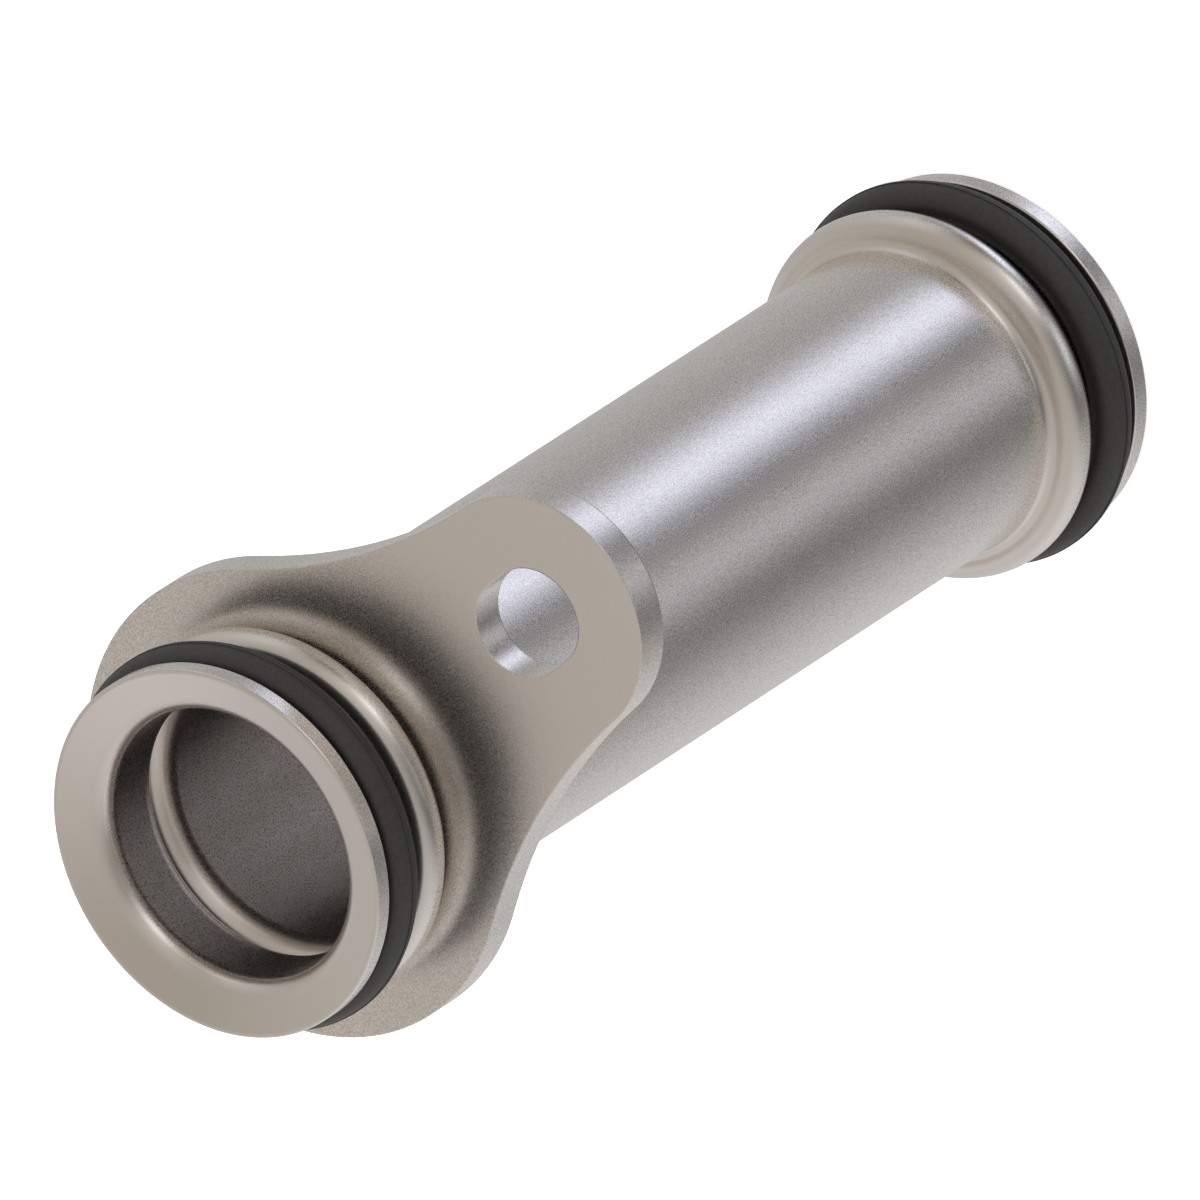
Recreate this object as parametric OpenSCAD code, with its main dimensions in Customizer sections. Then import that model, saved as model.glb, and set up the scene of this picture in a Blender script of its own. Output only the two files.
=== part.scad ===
// Coolant bypass tube: a short formed steel tube with a flared lip and a rolled bead
// at each end, a seal ring between each lip and bead, and an eared plate behind the
// front bead that bolts the tube down. It stands on its rear lip.
// Millimetres. Z runs up the tube axis from the rear end face to the front mouth, and
// the ear of the plate points along X.

/* [Tube] */
// Outside diameter of the tube
tube_od = 28; // [27:0.1:29]
// Wall thickness of the tube
wall_t = 1.8; // [1.5:0.05:2]
// Overall length between the two end faces
tube_len = 114.4; // [90:0.1:140]

/* [End lips] */
// Outside diameter of each lip
lip_od = 33.5; // [33:0.02:35]
// Thickness of each lip
lip_t = 1.75; // [1.6:0.05:2]
// Round on both edges of the lip rim
lip_edge_r = 0.2; // [0.1:0.01:0.5]
// Fillet between the back of each lip and the tube
lip_fillet_r = 1.45; // [1:0.05:1.6]
// Width of the flat land around the end face
land_w = 0.2; // [0.1:0.05:0.6]
// Tilt of the end face, which falls from the land towards the bore
face_tilt = 17; // [5:1:20]
// Round from the end face into the bore
mouth_r = 2.3; // [1.6:0.1:3]

/* [Beads] */
// Outside diameter of each bead
bead_od = 33.64; // [33:0.02:35]
// Distance from the end face to the middle of the bead
bead_pos = 9.1; // [8.6:0.1:12]
// Round over the crest of each bead, as a share of its height above the tube
crest_share = 0.6; // [0.4:0.01:0.65]
// Fillet at the foot that faces the end of the tube, as a share of the same height
end_foot_share = 0.09; // [0.05:0.01:0.12]
// Fillet at the foot that faces the middle of the tube, as a share of the same height
mid_foot_share = 0.33; // [0.2:0.01:0.38]

/* [Seal rings] */
// Thickness of the cord that the ring is moulded from
seal_cord_d = 3.6; // [3:0.05:4]
// How far the ring is squeezed onto the tube
seal_squeeze = 0.05; // [0.02:0.01:0.2]
// Distance from the end face to the middle of the ring
seal_pos = 4.1; // [4:0.05:4.6]
// Width of the parting ridge around the outside of the ring
seal_ridge_w = 0.3; // [0.2:0.05:0.6]
// Height of the parting ridge above the cord
seal_ridge_h = 0.08; // [0.05:0.01:0.2]

/* [Plate] */
// Thickness of the plate
plate_t = 3.2; // [2.5:0.1:4]
// Radius of the round part of the plate
plate_round_r = 21.25; // [20:0.05:23]
// Distance from the tube axis to the middle of the ear
ear_x = 35; // [32:0.1:40]
// Radius of the ear tip
ear_r = 11; // [9:0.1:12]
// Radius of the two hollow flanks of the plate
flank_r = 57; // [40:1:80]
// Distance from the tube axis to the middle of the bolt slot
slot_x = 34; // [31:0.1:36]
// Width of the bolt slot
slot_w = 9; // [6.6:0.1:10]
// Length of the bolt slot along the ear
slot_len = 11; // [10.2:0.1:13]

/* [Hidden] */

round_fn = 128;
arc_fn = 32;
// how far a cutting solid runs past the face it opens
cut_over = 1;
tube_r = tube_od / 2;
bore_r = tube_r - wall_t;
lip_r = lip_od / 2;
land_r = lip_r - lip_edge_r - land_w;
mouth_centre_r = bore_r + mouth_r;
// the end face is a cone from the land, and the round meets both it and the bore
mouth_drop = (land_r - mouth_centre_r) * sin(face_tilt);
mouth_depth = (mouth_r + mouth_drop) / cos(face_tilt);
bead_r = bead_od / 2;
bead_rise = bead_r - tube_r;
crest_r = crest_share * bead_rise;
end_foot_r = end_foot_share * bead_rise;
mid_foot_r = mid_foot_share * bead_rise;
// the wall keeps its thickness round each foot, so the groove inside has wider shoulders
end_shoulder_r = wall_t + end_foot_r;
mid_shoulder_r = wall_t + mid_foot_r;
seal_r = seal_cord_d / 2;
seal_centre_r = tube_r + seal_r - seal_squeeze;
// the plate's face stands this share of the way along the foot behind the bead, and the
// chamfer in its bore clears the rest of the foot
plate_stand_share = 0.6;
chamfer_share = 0.47;
plate_chamfer = chamfer_share * mid_foot_r;
plate_top_z = tube_len - bead_pos - crest_r - plate_stand_share * mid_foot_r;
plate_z = plate_top_z - plate_t;
cut_depth = plate_t + 2 * cut_over;
// the flank circles meet the round part and the ear tip from outside, a hair inside them
flank_bite = 0.005;
flank_a = plate_round_r + flank_r;
flank_b = ear_r + flank_r;
flank_x = (flank_a * flank_a - flank_b * flank_b + ear_x * ear_x) / (2 * ear_x);
flank_y = sqrt(flank_a * flank_a - flank_x * flank_x);

// a square with one corner at the origin, cut back to a fillet of radius r
module corner(r) {
    difference() {
        square([r, r]);
        translate([r, r]) circle(r = r, $fn = arc_fn);
    }
}

// solid of one end in the radius and height plane, with the end face at height zero
module end_solid() {
    difference() {
        translate([bore_r, 0]) square([lip_r - bore_r, lip_t]);
        translate([lip_r, 0]) mirror([1, 0]) corner(lip_edge_r);
        translate([lip_r, lip_t]) mirror([1, 0]) mirror([0, 1]) corner(lip_edge_r);
    }
    translate([tube_r, lip_t]) corner(lip_fillet_r);
    translate([bead_r - crest_r, bead_pos]) circle(r = crest_r, $fn = arc_fn);
    translate([bore_r, bead_pos - crest_r]) square([bead_r - crest_r - bore_r, 2 * crest_r]);
    translate([tube_r, bead_pos + crest_r]) corner(mid_foot_r);
    translate([tube_r, bead_pos - crest_r]) mirror([0, 1]) corner(end_foot_r);
}

// what the coned end face and the mouth round leave open in front of them
module mouth_hollow() {
    difference() {
        polygon([
            [bore_r, 0],
            [land_r, 0],
            [mouth_centre_r - mouth_r * sin(face_tilt), mouth_depth - mouth_r * cos(face_tilt)],
            [mouth_centre_r, mouth_depth],
            [bore_r, mouth_depth]
        ]);
        translate([mouth_centre_r, mouth_depth]) circle(r = mouth_r, $fn = arc_fn);
    }
}

// what is taken out of one end: the mouth and the groove inside the bead
module end_hollow() {
    mouth_hollow();
    difference() {
        translate([bore_r, bead_pos - end_shoulder_r]) {
            square([end_shoulder_r, end_shoulder_r + mid_shoulder_r]);
        }
        translate([bore_r + end_shoulder_r, bead_pos - end_shoulder_r]) {
            circle(r = end_shoulder_r, $fn = arc_fn);
        }
        translate([bore_r + mid_shoulder_r, bead_pos + mid_shoulder_r]) {
            circle(r = mid_shoulder_r, $fn = arc_fn);
        }
    }
}

module both_ends() {
    children();
    translate([0, tube_len]) mirror([0, 1]) children();
}

module tube() {
    color([0.70, 0.68, 0.66])
    rotate_extrude($fn = round_fn)
    difference() {
        union() {
            translate([bore_r, 0]) square([wall_t, tube_len]);
            both_ends() end_solid();
        }
        both_ends() end_hollow();
    }
}

// the web between the round part and the ear, with a hollow flank on each side
module web_outline() {
    difference() {
        polygon([[0, 0], [flank_x, flank_y], [ear_x, 0], [flank_x, -flank_y]]);
        for (side = [-1, 1]) {
            translate([flank_x, side * flank_y]) circle(r = flank_r + flank_bite, $fn = round_fn);
        }
    }
}

module plate_body() {
    cylinder(r = plate_round_r, h = plate_t, $fn = round_fn);
    translate([ear_x, 0, 0]) cylinder(r = ear_r, h = plate_t, $fn = round_fn);
    linear_extrude(plate_t) web_outline();
}

module bolt_slot() {
    straight = slot_len - slot_w;
    for (side = [-1, 1]) {
        translate([slot_x + side * straight / 2, 0, -cut_over]) {
            cylinder(r = slot_w / 2, h = cut_depth, $fn = round_fn);
        }
    }
    translate([slot_x - straight / 2, -slot_w / 2, -cut_over]) {
        cube([straight, slot_w, cut_depth]);
    }
}

// opens the front of the plate's bore over the foot of the bead
module bore_chamfer() {
    rotate_extrude($fn = round_fn)
    translate([tube_r, plate_t])
    polygon([
        [-cut_over, cut_over],
        [plate_chamfer + cut_over, cut_over],
        [-cut_over, -plate_chamfer - cut_over]
    ]);
}

module mounting_plate() {
    color([0.68, 0.65, 0.62])
    translate([0, 0, plate_z])
    difference() {
        plate_body();
        translate([0, 0, -cut_over]) cylinder(r = tube_r, h = cut_depth, $fn = round_fn);
        bore_chamfer();
        bolt_slot();
    }
}

// a ring with its middle at height zero, seated flat on the tube
module seal_ring() {
    color([0.16, 0.16, 0.16])
    rotate_extrude($fn = round_fn)
    difference() {
        union() {
            translate([seal_centre_r, 0]) circle(r = seal_r, $fn = arc_fn);
            translate([seal_centre_r, -seal_ridge_w / 2]) {
                square([seal_r + seal_ridge_h, seal_ridge_w]);
            }
        }
        translate([0, -seal_r]) square([tube_r, seal_cord_d]);
    }
}

module front_seal_ring() {
    translate([0, 0, tube_len - seal_pos]) seal_ring();
}

module rear_seal_ring() {
    translate([0, 0, seal_pos]) seal_ring();
}

tube();
mounting_plate();
front_seal_ring();
rear_seal_ring();
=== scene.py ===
"""Looks of the coolant bypass tube: a satin steel tube and plate with two black seal rings."""

import math

import bpy
from mathutils import Matrix, Vector


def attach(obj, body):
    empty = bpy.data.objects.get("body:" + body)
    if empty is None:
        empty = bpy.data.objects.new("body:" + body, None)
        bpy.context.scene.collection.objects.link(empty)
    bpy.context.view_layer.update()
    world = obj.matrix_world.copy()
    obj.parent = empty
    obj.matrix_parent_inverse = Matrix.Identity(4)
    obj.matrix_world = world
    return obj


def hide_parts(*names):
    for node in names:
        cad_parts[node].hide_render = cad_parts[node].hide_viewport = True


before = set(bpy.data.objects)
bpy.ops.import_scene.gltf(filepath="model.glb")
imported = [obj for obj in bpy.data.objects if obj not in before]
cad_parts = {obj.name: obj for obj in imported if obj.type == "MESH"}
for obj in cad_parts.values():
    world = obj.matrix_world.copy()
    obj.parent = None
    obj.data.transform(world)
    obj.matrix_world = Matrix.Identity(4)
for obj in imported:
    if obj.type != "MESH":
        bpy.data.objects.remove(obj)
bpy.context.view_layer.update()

# the line of sight: its angles to the tube's axis and to the ear, and the axis's slope in the
# picture
AXIS_TO_SIGHT = math.radians(42.91)
EAR_TO_SIGHT = math.radians(3.42)
AXIS_IN_IMAGE = math.radians(32.917)
FRAME_WIDTH = 0.10181
AIM_HEIGHT = 0.057
AIM_ASIDE = 0.00036
# the lens draws both ends a little to the lower left, so the camera aims that much aside
AIM_SLIP = 0.0003
# a very long lens stands in for the photograph's parallel view
LENS_MM = 1700.0
SENSOR_MM = 36.0
CAMERA_DISTANCE = FRAME_WIDTH * LENS_MM / SENSOR_MM
CLIP_START = 0.1
CLIP_END = 4.0 * CAMERA_DISTANCE


def sight_axes():
    """The camera's right, up and backward directions in the part's frame. The last two lie in
    the picture: across the tube's axis, and along it towards the rear end."""
    ahead = Vector((math.cos(EAR_TO_SIGHT), -math.sin(EAR_TO_SIGHT), 0.0))
    aside = Vector((math.sin(EAR_TO_SIGHT), math.cos(EAR_TO_SIGHT), 0.0))
    axis = Vector((0.0, 0.0, 1.0))
    back = math.sin(AXIS_TO_SIGHT) * ahead + math.cos(AXIS_TO_SIGHT) * axis
    along = math.cos(AXIS_TO_SIGHT) * ahead - math.sin(AXIS_TO_SIGHT) * axis
    right = math.cos(AXIS_IN_IMAGE) * along - math.sin(AXIS_IN_IMAGE) * aside
    up = math.sin(AXIS_IN_IMAGE) * along + math.cos(AXIS_IN_IMAGE) * aside
    return right, up, back, aside, along


def make_camera():
    right, up, back, aside, along = sight_axes()
    data = bpy.data.cameras.new("camera")
    data.type = "PERSP"
    data.sensor_width = SENSOR_MM
    data.lens = LENS_MM
    data.clip_start = CLIP_START
    data.clip_end = CLIP_END
    camera = bpy.data.objects.new("camera", data)
    bpy.context.scene.collection.objects.link(camera)
    aim = Vector((0.0, 0.0, AIM_HEIGHT)) + AIM_ASIDE * aside - AIM_SLIP * along
    turn = Matrix((right, up, back)).transposed().to_4x4()
    camera.matrix_world = Matrix.Translation(aim + CAMERA_DISTANCE * back) @ turn
    bpy.context.scene.camera = camera


make_camera()
bpy.context.scene.view_settings.view_transform = "Standard"

STEEL = (0.82, 0.79, 0.76)

# the studio: a soft grey room that brightens towards these directions
ROOM = (0.375, 0.344, 0.322)
ROOM_UP = (0.006, -0.009, -0.026)
ROOM_AHEAD = (0.183, 0.177, 0.175)
ROOM_ASIDE = (0.171, 0.165, 0.154)
# name, azimuth, elevation, tightness, extra tightness across, tilt, and light on bare steel
SOFTBOXES = (
    ("key_low", 46, -48, 13, 13, 34, (0.99, 1.0, 1.15)),
    ("key_strip", 18, 3.5, 25, 9, -2, (0.61, 0.58, 0.56)),
    ("front_fill", -22, -19, 3.7, 8.5, 6, (0.89, 0.87, 0.89)),
    ("front_dark", -25, -5.5, 2.8, 3, -2, (-0.9, -0.85, -0.85)),
    ("side_dark", 58, -24, 1.5, 2.6, -20, (-0.88, -0.86, -0.87)),
    ("right_fill", 72, -8, 3.7, 4.8, -19, (0.59, 0.58, 0.59)),
    ("left_fill", -117, -12, 1.7, 0.6, -40, (0.52, 0.5, 0.48)),
    ("right_back", 165, -5, 1.5, 13, 23, (0.13, 0.13, 0.12)),
    ("back_high", -157, 37, 4.4, 3, -28, (0.25, 0.24, 0.235)),
    ("left_high", -50, 22, 12, 0, 0, (0.05, 0.05, 0.05)),
    ("left_gap", -24, 1, 25, 0, 0, (-0.08, -0.08, -0.08)),
    ("left_dark", -35, 6, 12, 0, 0, (-0.05, -0.05, -0.05)),
    ("right_high", 32, 20, 7, 0, 0, (0.07, 0.068, 0.065)),
    ("right_gap", 30, -27, 30, 0, 0, (-0.08, -0.08, -0.08)),
)

# the floor and the lamp over it, which no steel reflects
FLOOR_HALF = 6.0
FLOOR_COLOUR = (0.9, 0.9, 0.9, 1.0)
FLOOR_ROUGHNESS = 0.9
FLOOR_GLOW = (1.0, 1.0, 1.0, 1.0)
FLOOR_GLOW_STRENGTH = 0.5
LAMP_WIDTH = 1.6
LAMP_HEIGHT = 1.6
LAMP_POWER = 30.0


class Nodes:
    """Short ways to add the nodes used here to one node tree."""

    def __init__(self, tree):
        self.tree = tree

    def add(self, kind):
        return self.tree.nodes.new("ShaderNode" + kind)

    def join(self, value, socket):
        """Links an output to the socket, or sets the socket to a plain value."""
        if hasattr(value, "links"):
            self.tree.links.new(value, socket)
        else:
            socket.default_value = value

    def number(self, operation, *values):
        node = self.add("Math")
        node.operation = operation
        for value, socket in zip(values, node.inputs):
            self.join(value, socket)
        return node.outputs[0]

    def vector(self, operation, *values):
        node = self.add("VectorMath")
        node.operation = operation
        for value, socket in zip(values, node.inputs):
            self.join(value, socket)
        return node

    def dot(self, one, other):
        return self.vector("DOT_PRODUCT", one, other).outputs["Value"]

    def scaled(self, vector, amount):
        node = self.vector("SCALE", vector)
        self.join(amount, node.inputs["Scale"])
        return node.outputs[0]

    def parts_of(self, vector):
        node = self.add("SeparateXYZ")
        self.join(vector, node.inputs[0])
        return node.outputs

    def spread(self, value, low, high, to_low, to_high):
        """Maps the range low to high onto to_low to to_high, and holds it there."""
        node = self.add("MapRange")
        for part, socket in zip((value, low, high, to_low, to_high), node.inputs):
            self.join(part, socket)
        return node.outputs["Result"]


def compass(azimuth, elevation):
    """A direction by its angles from the camera's azimuth and from level, in degrees."""
    turn = math.radians(azimuth) - EAR_TO_SIGHT
    rise = math.radians(elevation)
    level = math.cos(rise)
    return Vector((level * math.cos(turn), level * math.sin(turn), math.sin(rise)))


def on_steel(light):
    """The light in the room that shows as this on bare steel."""
    return tuple(part / colour for part, colour in zip(light, STEEL))


def make_world():
    """Adds up the room's light by direction: a level, three slopes and a spot for each softbox."""
    world = bpy.data.worlds.new("studio")
    world.use_nodes = True
    make = Nodes(world.node_tree)
    sky = make.add("TexCoord").outputs["Generated"]

    def add_light(total, light, strength):
        return make.vector("ADD", total, make.scaled(on_steel(light), strength)).outputs[0]

    glow = add_light(on_steel(ROOM), ROOM_UP, make.dot(sky, (0.0, 0.0, 1.0)))
    glow = add_light(glow, ROOM_AHEAD, make.dot(sky, compass(0.0, 0.0)))
    glow = add_light(glow, ROOM_ASIDE, make.dot(sky, compass(90.0, 0.0)))
    for _, azimuth, elevation, tight, narrow, tilt, light in SOFTBOXES:
        middle = compass(azimuth, elevation)
        level = compass(azimuth + 90.0, 0.0)
        upright = middle.cross(level)
        lean = math.radians(tilt)
        across = math.cos(lean) * level + math.sin(lean) * upright
        near = make.number("MULTIPLY_ADD", make.dot(sky, middle), tight, -tight)
        off = make.dot(sky, across)
        power = make.number("MULTIPLY_ADD", make.number("MULTIPLY", off, off), -narrow, near)
        glow = add_light(glow, light, make.number("EXPONENT", power))
    make.join(glow, world.node_tree.nodes["Background"].inputs["Color"])
    bpy.context.scene.world = world


def make_floor():
    mesh = bpy.data.meshes.new("floor")
    sides = ((-1, -1), (1, -1), (1, 1), (-1, 1))
    corners = [(FLOOR_HALF * x, FLOOR_HALF * y, 0.0) for x, y in sides]
    mesh.from_pydata(corners, [], [(0, 1, 2, 3)])
    floor = bpy.data.objects.new("floor", mesh)
    bpy.context.scene.collection.objects.link(floor)
    paint = bpy.data.materials.new("floor")
    paint.use_nodes = True
    shader = paint.node_tree.nodes["Principled BSDF"]
    shader.inputs["Base Color"].default_value = FLOOR_COLOUR
    shader.inputs["Roughness"].default_value = FLOOR_ROUGHNESS
    shader.inputs["Emission Color"].default_value = FLOOR_GLOW
    shader.inputs["Emission Strength"].default_value = FLOOR_GLOW_STRENGTH
    mesh.materials.append(paint)
    floor.visible_glossy = False
    floor.visible_shadow = False


def make_overhead():
    data = bpy.data.lights.new("overhead", "AREA")
    data.shape = "DISK"
    data.size = LAMP_WIDTH
    data.energy = LAMP_POWER
    lamp = bpy.data.objects.new("overhead", data)
    bpy.context.scene.collection.objects.link(lamp)
    lamp.location = (0.0, 0.0, LAMP_HEIGHT)
    lamp.visible_glossy = False


make_world()
make_floor()
make_overhead()

# sizes in millimetres, as in the part
MM = 0.001
LENGTH = 114.4
TUBE_R = 14.0
BORE_R = 12.2
WALL_T = TUBE_R - BORE_R
MOUTH_R = 2.3
LIP_R = 16.75
LIP_T = 1.75
LIP_EDGE_R = 0.2
LIP_FILLET_R = 1.45
LAND_W = 0.2
FACE_TILT = 17.0
FACE_SLOPE = math.radians(FACE_TILT)
LAND_R = LIP_R - LIP_EDGE_R - LAND_W
MOUTH_DROP = (LAND_R - BORE_R - MOUTH_R) * math.sin(FACE_SLOPE)
MOUTH_DEPTH = (MOUTH_R + MOUTH_DROP) / math.cos(FACE_SLOPE)
BEAD_R = 16.82
BEAD_POS = 9.1
BEAD_RISE = BEAD_R - TUBE_R
CREST_R = 0.6 * BEAD_RISE
END_FOOT_R = 0.09 * BEAD_RISE
MID_FOOT_R = 0.33 * BEAD_RISE
END_SHOULDER_R = WALL_T + END_FOOT_R
MID_SHOULDER_R = WALL_T + MID_FOOT_R
SEAL_R = 1.8
SEAL_CENTRE_R = 15.75
SEAL_POS = 4.1
RIDGE_W = 0.3
RIDGE_H = 0.08
# what lies nearer the axis than this is the bore, which gets a lighter, warmer copy of the steel:
# painted light for the light that comes down the bore
BORE_SIDE_R = BORE_R + 0.5
# faces around each lathed piece, and along each round of its section
AROUND = 256
ARC_STEPS = 14
CREST_STEPS = 28
SEAL_STEPS = 32

# directions in a section
INWARD = (-1.0, 0.0)
OUTWARD = (1.0, 0.0)
DOWN = (0.0, -1.0)
UP = (0.0, 1.0)


def arc(radius, height, size, start, end, hollow=False, steps=ARC_STEPS):
    """One round of a section, from its centre and its angles in degrees. Each point has the
    outward normal before and after it."""
    side = -1.0 if hollow else 1.0
    made = []
    for step in range(steps + 1):
        angle = math.radians(start + (end - start) * step / steps)
        ray = Vector((math.cos(angle), math.sin(angle)))
        made.append((Vector((radius, height)) + size * ray, side * ray, side * ray))
    return made


def sharp(points, first=None, last=None):
    """The same points with the normal before the first or after the last one set."""
    made = list(points)
    if first is not None:
        made[0] = (made[0][0], Vector(first), made[0][2])
    if last is not None:
        made[-1] = (made[-1][0], made[-1][1], Vector(last))
    return made


def lathe(name, outline):
    """Revolves a section about the axis, with exact normals."""
    turns = [2 * math.pi * step / AROUND for step in range(AROUND)]
    spokes = [(math.cos(turn), math.sin(turn)) for turn in turns]
    points = [
        (point.x * MM * spoke[0], point.x * MM * spoke[1], point.y * MM)
        for point, _, _ in outline
        for spoke in spokes
    ]
    faces = []
    normals = []
    rows = len(outline)
    for row in range(rows):
        following = (row + 1) % rows
        leave = outline[row][2]
        arrive = outline[following][1]
        for step in range(AROUND):
            turned = (step + 1) % AROUND
            corners = (
                (row, step, leave),
                (row, turned, leave),
                (following, turned, arrive),
                (following, step, arrive),
            )
            faces.append([line * AROUND + place for line, place, _ in corners])
            for _, place, normal in corners:
                spoke = spokes[place]
                normals.append((normal.x * spoke[0], normal.x * spoke[1], normal.y))
    mesh = bpy.data.meshes.new(name)
    mesh.from_pydata(points, [], faces)
    mesh.normals_split_custom_set(normals)
    piece = bpy.data.objects.new(name, mesh)
    bpy.context.scene.collection.objects.link(piece)
    return piece


def groove():
    """The inside of the wall at the bead: a shoulder on each side, which meet at the bottom."""
    bottom = math.degrees(math.acos(1.0 - END_SHOULDER_R / MID_SHOULDER_R))
    mid_height = BEAD_POS + MID_SHOULDER_R
    end_height = BEAD_POS - END_SHOULDER_R
    mid = arc(BORE_R + MID_SHOULDER_R, mid_height, MID_SHOULDER_R, 180, 180 + bottom)
    end = arc(BORE_R + END_SHOULDER_R, end_height, END_SHOULDER_R, 90, 180)
    return sharp(mid, last=INWARD) + sharp(end, first=INWARD)


def end_face():
    """The round of the mouth, and the cone of the end face up to the land around it."""
    slope = (-math.sin(FACE_SLOPE), -math.cos(FACE_SLOPE))
    mouth = arc(BORE_R + MOUTH_R, MOUTH_DEPTH, MOUTH_R, 180, 270 - FACE_TILT)
    land = [(Vector((LAND_R, 0.0)), Vector(slope), Vector(DOWN))]
    return mouth + land


def lip():
    """The lip's rim and the fillet behind it."""
    edge_r = LIP_R - LIP_EDGE_R
    front = arc(edge_r, LIP_EDGE_R, LIP_EDGE_R, 270, 360)
    back = arc(edge_r, LIP_T - LIP_EDGE_R, LIP_EDGE_R, 0, 90)
    fillet_r = TUBE_R + LIP_FILLET_R
    fillet = arc(fillet_r, LIP_T + LIP_FILLET_R, LIP_FILLET_R, 270, 180, hollow=True)
    return front + back + fillet


def bead():
    """The bead's crest, with a fillet at each foot."""
    end_height = BEAD_POS - CREST_R - END_FOOT_R
    mid_height = BEAD_POS + CREST_R + MID_FOOT_R
    end_foot = arc(TUBE_R + END_FOOT_R, end_height, END_FOOT_R, 180, 90, hollow=True)
    crest = arc(BEAD_R - CREST_R, BEAD_POS, CREST_R, -90, 90, steps=CREST_STEPS)
    mid_foot = arc(TUBE_R + MID_FOOT_R, mid_height, MID_FOOT_R, 270, 180, hollow=True)
    return end_foot + crest + mid_foot


def end_section():
    """One end of the tube's wall, by depth from its face: down the inside, over the mouth and
    up the outside."""
    return groove() + end_face() + lip() + bead()


def at_front(section):
    """The same section at the front end: turned over, so it runs the other way."""
    flip = Vector((1.0, -1.0))
    return [
        (Vector((point.x, LENGTH - point.y)), after * flip, before * flip)
        for point, before, after in reversed(section)
    ]


def tube_section():
    """The whole wall, anticlockwise: up the outside and down the inside."""
    return end_section() + at_front(end_section())


def seal_section(middle):
    """The ring's section: a flat seat on the tube, and a fine parting ridge round its outside."""
    seat = math.degrees(math.acos((SEAL_CENTRE_R - TUBE_R) / SEAL_R))
    edge = math.degrees(math.asin(RIDGE_W / 2 / SEAL_R))
    ridge_r = SEAL_CENTRE_R + SEAL_R + RIDGE_H
    lower = arc(SEAL_CENTRE_R, middle, SEAL_R, seat - 180, -edge, steps=SEAL_STEPS)
    upper = arc(SEAL_CENTRE_R, middle, SEAL_R, edge, 180 - seat, steps=SEAL_STEPS)
    ridge = [
        (Vector((ridge_r, middle - RIDGE_W / 2)), Vector(DOWN), Vector(OUTWARD)),
        (Vector((ridge_r, middle + RIDGE_W / 2)), Vector(OUTWARD), Vector(UP)),
    ]
    return sharp(lower, first=INWARD, last=DOWN) + ridge + sharp(upper, first=UP, last=INWARD)


# noise scales are in cycles per metre, and depths and distances in metres. Most of a noise's
# values lie in the first range, and its patches stand out in the second
NOISE_RANGE = (0.3, 0.7)
PATCH_RANGE = (0.35, 0.65)
# the bore's steel is a lighter, warmer copy of the outer steel: painted light that stands in for
# the light coming down the bore
BORE_STEEL_PAINTED_LIGHT = (0.97, 0.91, 0.875)
ROUGHNESS = 0.28
GRAIN_SCALE = 9000.0
GRAIN_DETAIL = 1.0
GRAIN_DEPTH = 0.0000008
GRAIN_ROUGHNESS = 0.03
# how much of its colour the grain takes or gives
WALL_SPECKLE = 0.34
BORE_SPECKLE = 0.55
PLATE_SPECKLE = 0.3
# a normal that rises less than the first is a drawn wall's, and one that rises more than the
# second is a flat face's, which has only this share of the grain
WALL_RISE = 0.1
FLAT_RISE = 0.6
FLAT_GRAIN = 0.02
# the plate's flat face keeps this share of its grain near the tube, and loses it between these
# distances from the axis
PLATE_MOTTLE = 0.8
MOTTLE_FROM = 0.024
MOTTLE_TO = 0.030
CLOUD_SCALE = 90.0
CLOUD_DETAIL = 3.0
CLOUD_COLOUR = 0.015
CLOUD_ROUGHNESS = 0.02
# edges that show wear are smoother and brighter, in patches; the brightening is partly wear and
# partly a painted highlight along the edges
WEAR_AND_SHEEN_SCALE = 700.0
WEAR_AND_SHEEN_DETAIL = 2.0
WEAR_AND_SHEEN_LEAST = 0.3
WEAR_AND_SHEEN_LIGHT = 0.07
WEAR_ROUGHNESS = -0.06
RIM_WEAR_AND_SHEEN_FROM = 0.0166
RIM_WEAR_AND_SHEEN_TO = 0.0168
EDGE_R = 0.00022
EDGE_SAMPLES = 6
EDGE_WEAR_AND_SHEEN_FROM = 0.97
EDGE_WEAR_AND_SHEEN_TO = 0.8
RUBBER = (0.026, 0.026, 0.026)
RUBBER_GRAIN_SCALE = 3000.0
RUBBER_GRAIN_DEPTH = 0.000004
RUBBER_PATCH_SCALE = 150.0
RUBBER_DETAIL = 2.0
RUBBER_SHADE = (0.85, 1.15)
RUBBER_ROUGHNESS = (0.48, 0.56)


class Shading(Nodes):
    """The node tree of one new material."""

    def __init__(self, name):
        self.paint = bpy.data.materials.new(name)
        self.paint.use_nodes = True
        super().__init__(self.paint.node_tree)
        self.shader = self.tree.nodes["Principled BSDF"]
        self.place = self.add("TexCoord").outputs["Object"]

    def noise(self, scale, detail):
        node = self.add("TexNoise")
        node.inputs["Scale"].default_value = scale
        node.inputs["Detail"].default_value = detail
        self.join(self.place, node.inputs["Vector"])
        return node.outputs["Fac"]

    def surface(self, colour, roughness):
        self.join(colour, self.shader.inputs["Base Color"])
        self.join(roughness, self.shader.inputs["Roughness"])

    def bump(self, height, distance, normal=None):
        node = self.add("Bump")
        node.inputs["Distance"].default_value = distance
        self.join(height, node.inputs["Height"])
        if normal is not None:
            self.join(normal, node.inputs["Normal"])
        self.join(node.outputs[0], self.shader.inputs["Normal"])


def reach(make):
    """Distance from the tube's axis."""
    x, y, _ = make.parts_of(make.place)
    square = make.number("MULTIPLY_ADD", y, y, make.number("MULTIPLY", x, x))
    return make.number("SQRT", square)


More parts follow.
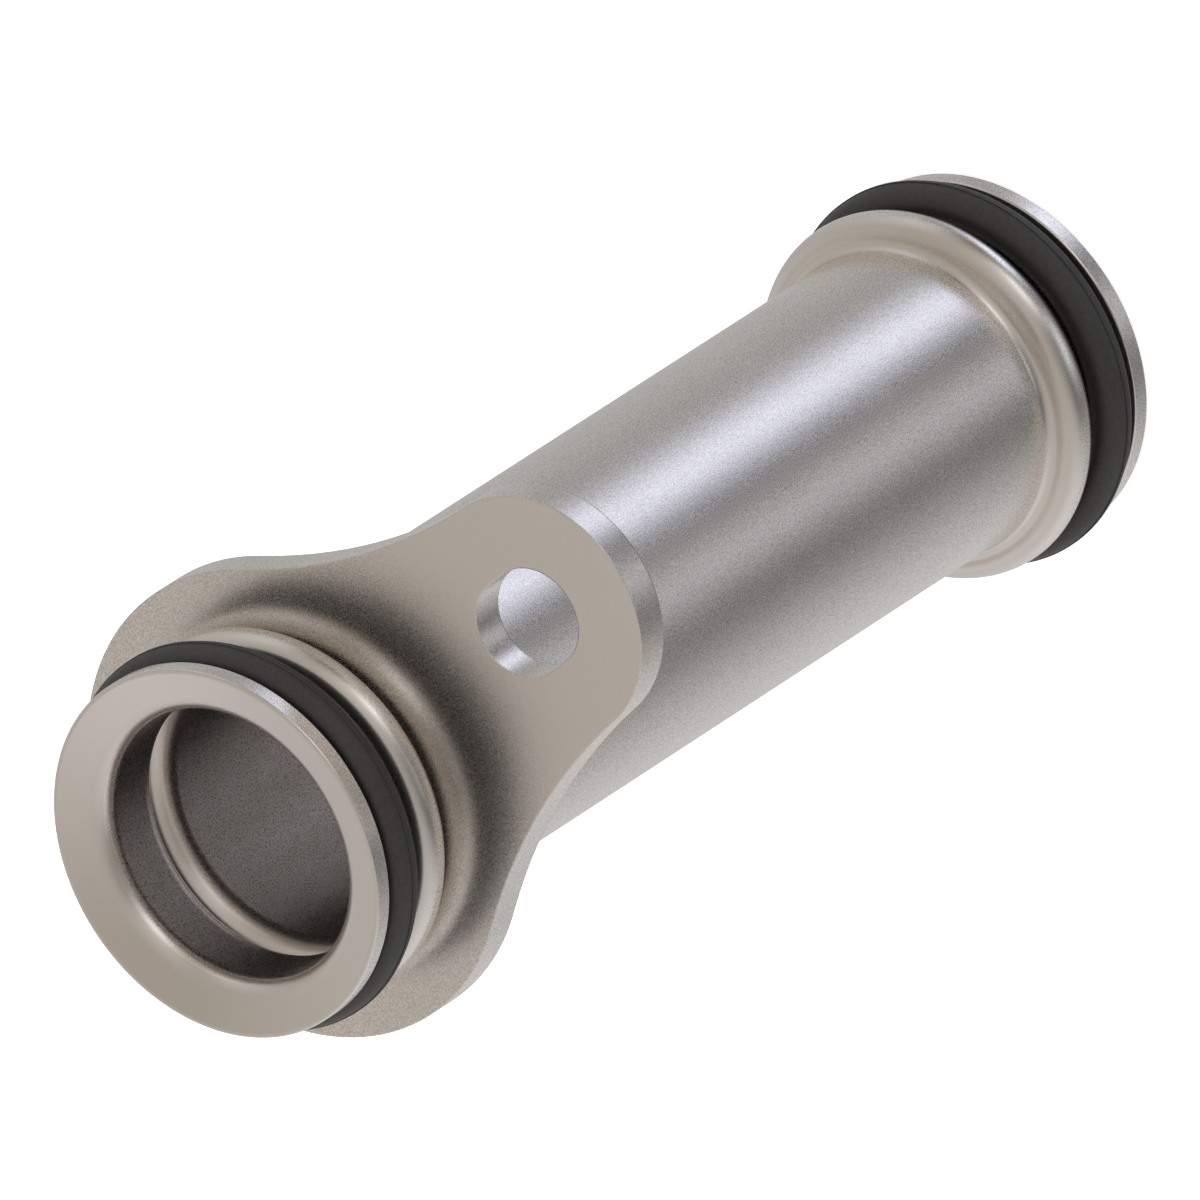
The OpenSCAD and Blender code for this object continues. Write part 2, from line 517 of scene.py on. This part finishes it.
def rim_wear_and_sheen(make):
    """The lip rims and bead crests rub in the housing: what stands furthest out shows wear, and is
    lighter in colour, partly from wear and partly as a painted highlight along the rims and
    crests.
    """
    return make.spread(reach(make), RIM_WEAR_AND_SHEEN_FROM, RIM_WEAR_AND_SHEEN_TO, 0.0, 1.0), None


def edge_wear_and_sheen(make):
    """The plate's sheared edges are a little round and show wear; their lighter colour is partly
    wear and partly a painted highlight along the edges.
    """
    soft = make.add("Bevel")
    soft.samples = EDGE_SAMPLES
    soft.inputs["Radius"].default_value = EDGE_R
    round_normal = soft.outputs["Normal"]
    match = make.dot(round_normal, make.add("NewGeometry").outputs["Normal"])
    return make.spread(match, EDGE_WEAR_AND_SHEEN_FROM, EDGE_WEAR_AND_SHEEN_TO, 0.0, 1.0), round_normal


def grain_share(make, mottle):
    """Drawn walls show all the grain. Flat faces show almost none, apart from the mottle."""
    upright = make.number("ABSOLUTE", make.parts_of(make.add("NewGeometry").outputs["Normal"])[2])
    share = make.spread(upright, WALL_RISE, FLAT_RISE, 1.0, FLAT_GRAIN)
    if mottle:
        near_tube = make.spread(reach(make), MOTTLE_FROM, MOTTLE_TO, mottle, 0.0)
        share = make.number("MAXIMUM", share, near_tube)
    return share


def steel_finish(name, colour, speckle, find_wear_and_sheen, mottle=0.0):
    """Satin steel. The walls are speckled, broad faint clouding changes the colour and the
    roughness, and the edges are smoother and brighter in patches: the brightening is partly wear
    and partly a painted highlight."""
    make = Shading(name)
    grain = make.spread(make.noise(GRAIN_SCALE, GRAIN_DETAIL), *NOISE_RANGE, -1.0, 1.0)
    cloud = make.spread(make.noise(CLOUD_SCALE, CLOUD_DETAIL), *NOISE_RANGE, -1.0, 1.0)
    patch = make.spread(make.noise(WEAR_AND_SHEEN_SCALE, WEAR_AND_SHEEN_DETAIL), *PATCH_RANGE, WEAR_AND_SHEEN_LEAST, 1.0)
    edges, normal = find_wear_and_sheen(make)
    worn_and_sheen = make.number("MULTIPLY", edges, patch)
    rough = make.number("MULTIPLY", grain, grain_share(make, mottle))
    amount = make.number("MULTIPLY_ADD", cloud, CLOUD_COLOUR, 1.0)
    amount = make.number("MULTIPLY_ADD", rough, speckle, amount)
    # the edges' lighter colour is partly wear and partly a painted highlight
    amount = make.number("MULTIPLY_ADD", worn_and_sheen, WEAR_AND_SHEEN_LIGHT, amount)
    roughness = make.number("MULTIPLY_ADD", cloud, CLOUD_ROUGHNESS, ROUGHNESS)
    roughness = make.number("MULTIPLY_ADD", rough, GRAIN_ROUGHNESS, roughness)
    roughness = make.number("MULTIPLY_ADD", worn_and_sheen, WEAR_ROUGHNESS, roughness)
    make.surface(make.scaled(colour, amount), roughness)
    make.shader.inputs["Metallic"].default_value = 1.0
    make.bump(rough, GRAIN_DEPTH, normal)
    return make.paint


def rubber(name):
    """Moulded black rubber: fine matt grain, with patches a little smoother than the rest."""
    make = Shading(name)
    grain = make.noise(RUBBER_GRAIN_SCALE, RUBBER_DETAIL)
    patch = make.noise(RUBBER_PATCH_SCALE, RUBBER_DETAIL)
    shade = make.scaled(RUBBER, make.spread(grain, *NOISE_RANGE, *RUBBER_SHADE))
    make.surface(shade, make.spread(patch, *PATCH_RANGE, *RUBBER_ROUGHNESS))
    make.bump(grain, RUBBER_GRAIN_DEPTH)
    return make.paint


def make_tube():
    tube = lathe("tube_wall", tube_section())
    tube.data.materials.append(steel_finish("satin_steel", STEEL, WALL_SPECKLE, rim_wear_and_sheen))
    # the faces in the bore get the lighter copy of the steel, which is painted light
    tube.data.materials.append(steel_finish("bore_steel_painted_light", BORE_STEEL_PAINTED_LIGHT, BORE_SPECKLE, rim_wear_and_sheen))
    for face in tube.data.polygons:
        in_bore = math.hypot(face.center.x, face.center.y) < BORE_SIDE_R * MM
        face.material_index = int(in_bore)
    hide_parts("tube")
    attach(tube, "root")


def make_ring(name, node, middle, paint):
    ring = lathe(name, seal_section(middle))
    ring.data.materials.append(paint)
    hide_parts(node)
    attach(ring, "root")


def make_rings():
    black = rubber("seal_rubber")
    make_ring("front_ring", "front_seal_ring", LENGTH - SEAL_POS, black)
    make_ring("rear_ring", "rear_seal_ring", SEAL_POS, black)


def finish_plate():
    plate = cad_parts["mounting_plate"]
    paint = steel_finish("plate_steel", STEEL, PLATE_SPECKLE, edge_wear_and_sheen, PLATE_MOTTLE)
    plate.data.materials.clear()
    plate.data.materials.append(paint)


make_tube()
make_rings()
finish_plate()
